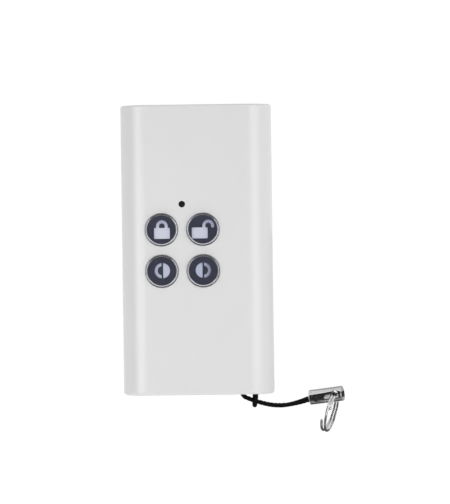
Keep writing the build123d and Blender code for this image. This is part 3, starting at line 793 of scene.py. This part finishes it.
# The faces inside the eye get a dark metal: painted shade in the hole
ferrule.data.materials.append(metal("eye_wall_painted_shade", (0.20, 0.20, 0.21), roughness=0.35, depth=0.0))
for face in ferrule.data.polygons:
    offset = face.center - EYE_CENTRE
    spread = offset - EYE_WAY * offset.dot(EYE_WAY)
    if spread.length < FERRULE_EYE / 2 + FERRULE_EYE_EDGE and face.normal.dot(spread) < 0:
        face.material_index = 1
dress(ring, RING_METAL)


# The paper lies a hair below the fob, so that the two never share a plane
FLOOR_DROP = 0.05 * MM
FLOOR_SIZE = 8
FLOOR_TONE = 0.82
FLOOR_ROUGHNESS = 0.9
FLOOR_GLOW = 1.06
FLOOR_GLOW_SHARE = 0.9


def add_floor():
    """White paper that shows as white and keeps a faint shadow."""
    bpy.ops.object.select_all(action="DESELECT")
    bpy.ops.mesh.primitive_plane_add(size=FLOOR_SIZE, location=(0, 0, -FLOOR_DROP))
    floor = bpy.context.object
    floor.name = "floor"
    finish = Finish("floor_paper").set(
        Base_Color=(FLOOR_TONE, FLOOR_TONE, FLOOR_TONE), Roughness=FLOOR_ROUGHNESS,
    )
    glow = finish.node("ShaderNodeEmission")
    glow.inputs["Strength"].default_value = FLOOR_GLOW
    path = finish.node("ShaderNodeLightPath")
    seen = finish.node("ShaderNodeMath", operation="MAXIMUM")
    finish.link(path.outputs["Is Camera Ray"], seen.inputs[0])
    finish.link(path.outputs["Is Glossy Ray"], seen.inputs[1])
    clear = finish.node("ShaderNodeMath", operation="MAXIMUM")
    finish.link(seen.outputs[0], clear.inputs[0])
    finish.link(path.outputs["Is Transmission Ray"], clear.inputs[1])
    share = finish.node("ShaderNodeMath", operation="MULTIPLY")
    share.inputs[1].default_value = FLOOR_GLOW_SHARE
    finish.link(clear.outputs[0], share.inputs[0])
    mix = finish.node("ShaderNodeMixShader")
    finish.link(share.outputs[0], mix.inputs[0])
    finish.link(finish.shader.outputs[0], mix.inputs[1])
    finish.link(glow.outputs[0], mix.inputs[2])
    finish.link(mix.outputs[0], finish.tree.nodes["Material Output"].inputs["Surface"])
    dress(floor, finish.material)


def add_lamp(name, place, size, power):
    """A soft rectangular lamp that faces the fob, without a mirror image of its own."""
    light = bpy.data.lights.new(name, "AREA")
    light.shape = "RECTANGLE"
    light.size, light.size_y = size
    light.energy = power
    lamp = bpy.data.objects.new(name, light)
    bpy.context.scene.collection.objects.link(lamp)
    lamp.location = place
    lamp.rotation_mode = "QUATERNION"
    lamp.rotation_quaternion = (-Vector(place)).to_track_quat("-Z", "Y")
    lamp.visible_glossy = False


def add_card(name, place, aim, size, tone, clear_back=False):
    """A card that only shiny surfaces see, so that bright metal has something to mirror."""
    bpy.ops.object.select_all(action="DESELECT")
    bpy.ops.mesh.primitive_plane_add(size=1)
    card = bpy.context.object
    card.name = name
    turn = (Vector(aim) - Vector(place)).to_track_quat("Z", "Y").to_matrix().to_4x4()
    card.matrix_world = Matrix.Translation(place) @ turn @ Matrix.Diagonal((*size, 1, 1))
    card.visible_camera = False
    card.visible_diffuse = False
    card.visible_transmission = False
    card.visible_shadow = False
    finish = Finish(name)
    glow = finish.node("ShaderNodeEmission")
    glow.inputs["Strength"].default_value = tone
    face = glow.outputs[0]
    if clear_back:
        side = finish.node("ShaderNodeNewGeometry")
        mix = finish.node("ShaderNodeMixShader")
        finish.link(side.outputs["Backfacing"], mix.inputs[0])
        finish.link(face, mix.inputs[1])
        finish.link(finish.node("ShaderNodeBsdfTransparent").outputs[0], mix.inputs[2])
        face = mix.outputs[0]
    finish.link(face, finish.tree.nodes["Material Output"].inputs["Surface"])
    dress(card, finish.material)


# Soft lamps: name, place, width and length in metres, and power
LAMPS = (
    ("left_softbox", (-0.132, -0.02, 0.264), (0.18, 0.36), 0.265),
    ("right_softbox", (0.80, 0.05, 0.60), (0.5, 1.1), 3.2),
    ("low_left_softbox", (-0.50, 0.0, 0.14), (0.4, 0.8), 0.12),
    ("low_front_softbox", (0.15, -0.95, 0.30), (1.2, 0.4), 3.0),
)

# The two large cards that the key rims and the case's sides mirror
CARD_REACH = 1.0
CARD_SLANT = radians(35)
CARD_SIZE = (1.06, 0.64)
LEFT_CARD_TONE = 2.6
RIGHT_CARD_TONE = 2.1

# Small cards for the bright metal: name, place, aim, size, tone, and whether the back is clear
SMALL_CARDS = (
    ("ferrule_card", (-0.0015, -0.038, 0.062), EYE_CENTRE, (0.084, 0.044), 0.02, False),
    ("end_card", (0.0410, -0.0378, 0.0005), (0.0410, -0.0378, 1), (0.006, 0.0017), 0.04, False),
    ("ring_card", (0.0350, -0.0433, 0.0063), (0.0350, -0.0433, 0), (0.011, 0.0095), 0.03, True),
    ("ring_top_card", (0.0335, -0.0480, 0.030), (0.0335, -0.0480, 0), (0.014, 0.024), 0.55, True),
    ("dark_card", (0.035, -0.147, 0.0004), (0.035, -0.147, 1), (0.130, 0.205), 0.11, False),
    ("grey_card", (0.044, -0.018, 0.0004), (0.044, -0.018, 1), (0.040, 0.044), 0.45, False),
)

# How bright a shiny surface sees the world: behind, in front, at the sides and overhead
WORLD_LEVEL = 0.50
LOW_BACK_LEVEL = 0.62
HIGH_BACK_LEVEL = 0.92
FRONT_LEVEL = 0.26
SIDE_LEVEL = 0.26
DARK_LEVEL = 0.04
SIDE_RANGE = (0.40, 0.75)
FRONT_RANGE = (-0.72, -0.88)
BACK_EDGE_RANGE = (0.50, 0.55)
BACK_RISE_RANGE = (0.0, 0.8)


def add_world():
    """Plain white light all round; shiny surfaces see it bright behind and dark overhead."""
    world = bpy.data.worlds.new("studio")
    bpy.context.scene.world = world
    world.use_nodes = True
    tree = world.node_tree

    def link(output, target):
        tree.links.new(output, target)

    def span(value, low, high, to_low, to_high):
        node = tree.nodes.new("ShaderNodeMapRange")
        node.interpolation_type = "SMOOTHSTEP"
        for key, number in (("From Min", low), ("From Max", high), ("To Min", to_low), ("To Max", to_high)):
            node.inputs[key].default_value = number
        link(value, node.inputs["Value"])
        return node.outputs["Result"]

    def combine(operation, one, other):
        node = tree.nodes.new("ShaderNodeMath")
        node.operation = operation
        link(one, node.inputs[0])
        link(other, node.inputs[1])
        return node.outputs[0]

    way = tree.nodes.new("ShaderNodeTexCoord")
    parts = tree.nodes.new("ShaderNodeSeparateXYZ")
    link(way.outputs["Generated"], parts.inputs[0])
    size = tree.nodes.new("ShaderNodeMath")
    size.operation = "ABSOLUTE"
    link(parts.outputs["X"], size.inputs[0])
    side = span(size.outputs[0], *SIDE_RANGE, DARK_LEVEL, SIDE_LEVEL)
    front = span(parts.outputs["Y"], *FRONT_RANGE, 0, FRONT_LEVEL)
    back_edge = span(parts.outputs["Y"], *BACK_EDGE_RANGE, 0, 1)
    back_level = span(parts.outputs["Z"], *BACK_RISE_RANGE, LOW_BACK_LEVEL, HIGH_BACK_LEVEL)
    glossy = combine("MAXIMUM", combine("MAXIMUM", side, front), combine("MULTIPLY", back_edge, back_level))
    path = tree.nodes.new("ShaderNodeLightPath")
    shine = tree.nodes.new("ShaderNodeMix")
    shine.data_type = "FLOAT"
    link(path.outputs["Is Glossy Ray"], shine.inputs["Factor"])
    shine.inputs["A"].default_value = WORLD_LEVEL
    link(glossy, shine.inputs["B"])
    seen = tree.nodes.new("ShaderNodeMix")
    seen.data_type = "FLOAT"
    link(path.outputs["Is Camera Ray"], seen.inputs["Factor"])
    link(shine.outputs["Result"], seen.inputs["A"])
    seen.inputs["B"].default_value = 1.0
    background = tree.nodes["Background"]
    background.inputs["Color"].default_value = (1, 1, 1, 1)
    link(seen.outputs["Result"], background.inputs["Strength"])


add_floor()
for name, place, size, power in LAMPS:
    add_lamp(name, place, size, power)
for side, name, tone in ((-1, "left_card", LEFT_CARD_TONE), (1, "right_card", RIGHT_CARD_TONE)):
    place = (side * CARD_REACH * sin(CARD_SLANT), 0, CARD_REACH * cos(CARD_SLANT))
    add_card(name, place, (0, 0, 0), CARD_SIZE, tone)
for name, place, aim, size, tone, clear_back in SMALL_CARDS:
    add_card(name, place, aim, size, tone, clear_back)
add_world()
bpy.context.scene.view_settings.view_transform = "Standard"

bpy.context.view_layer.update()
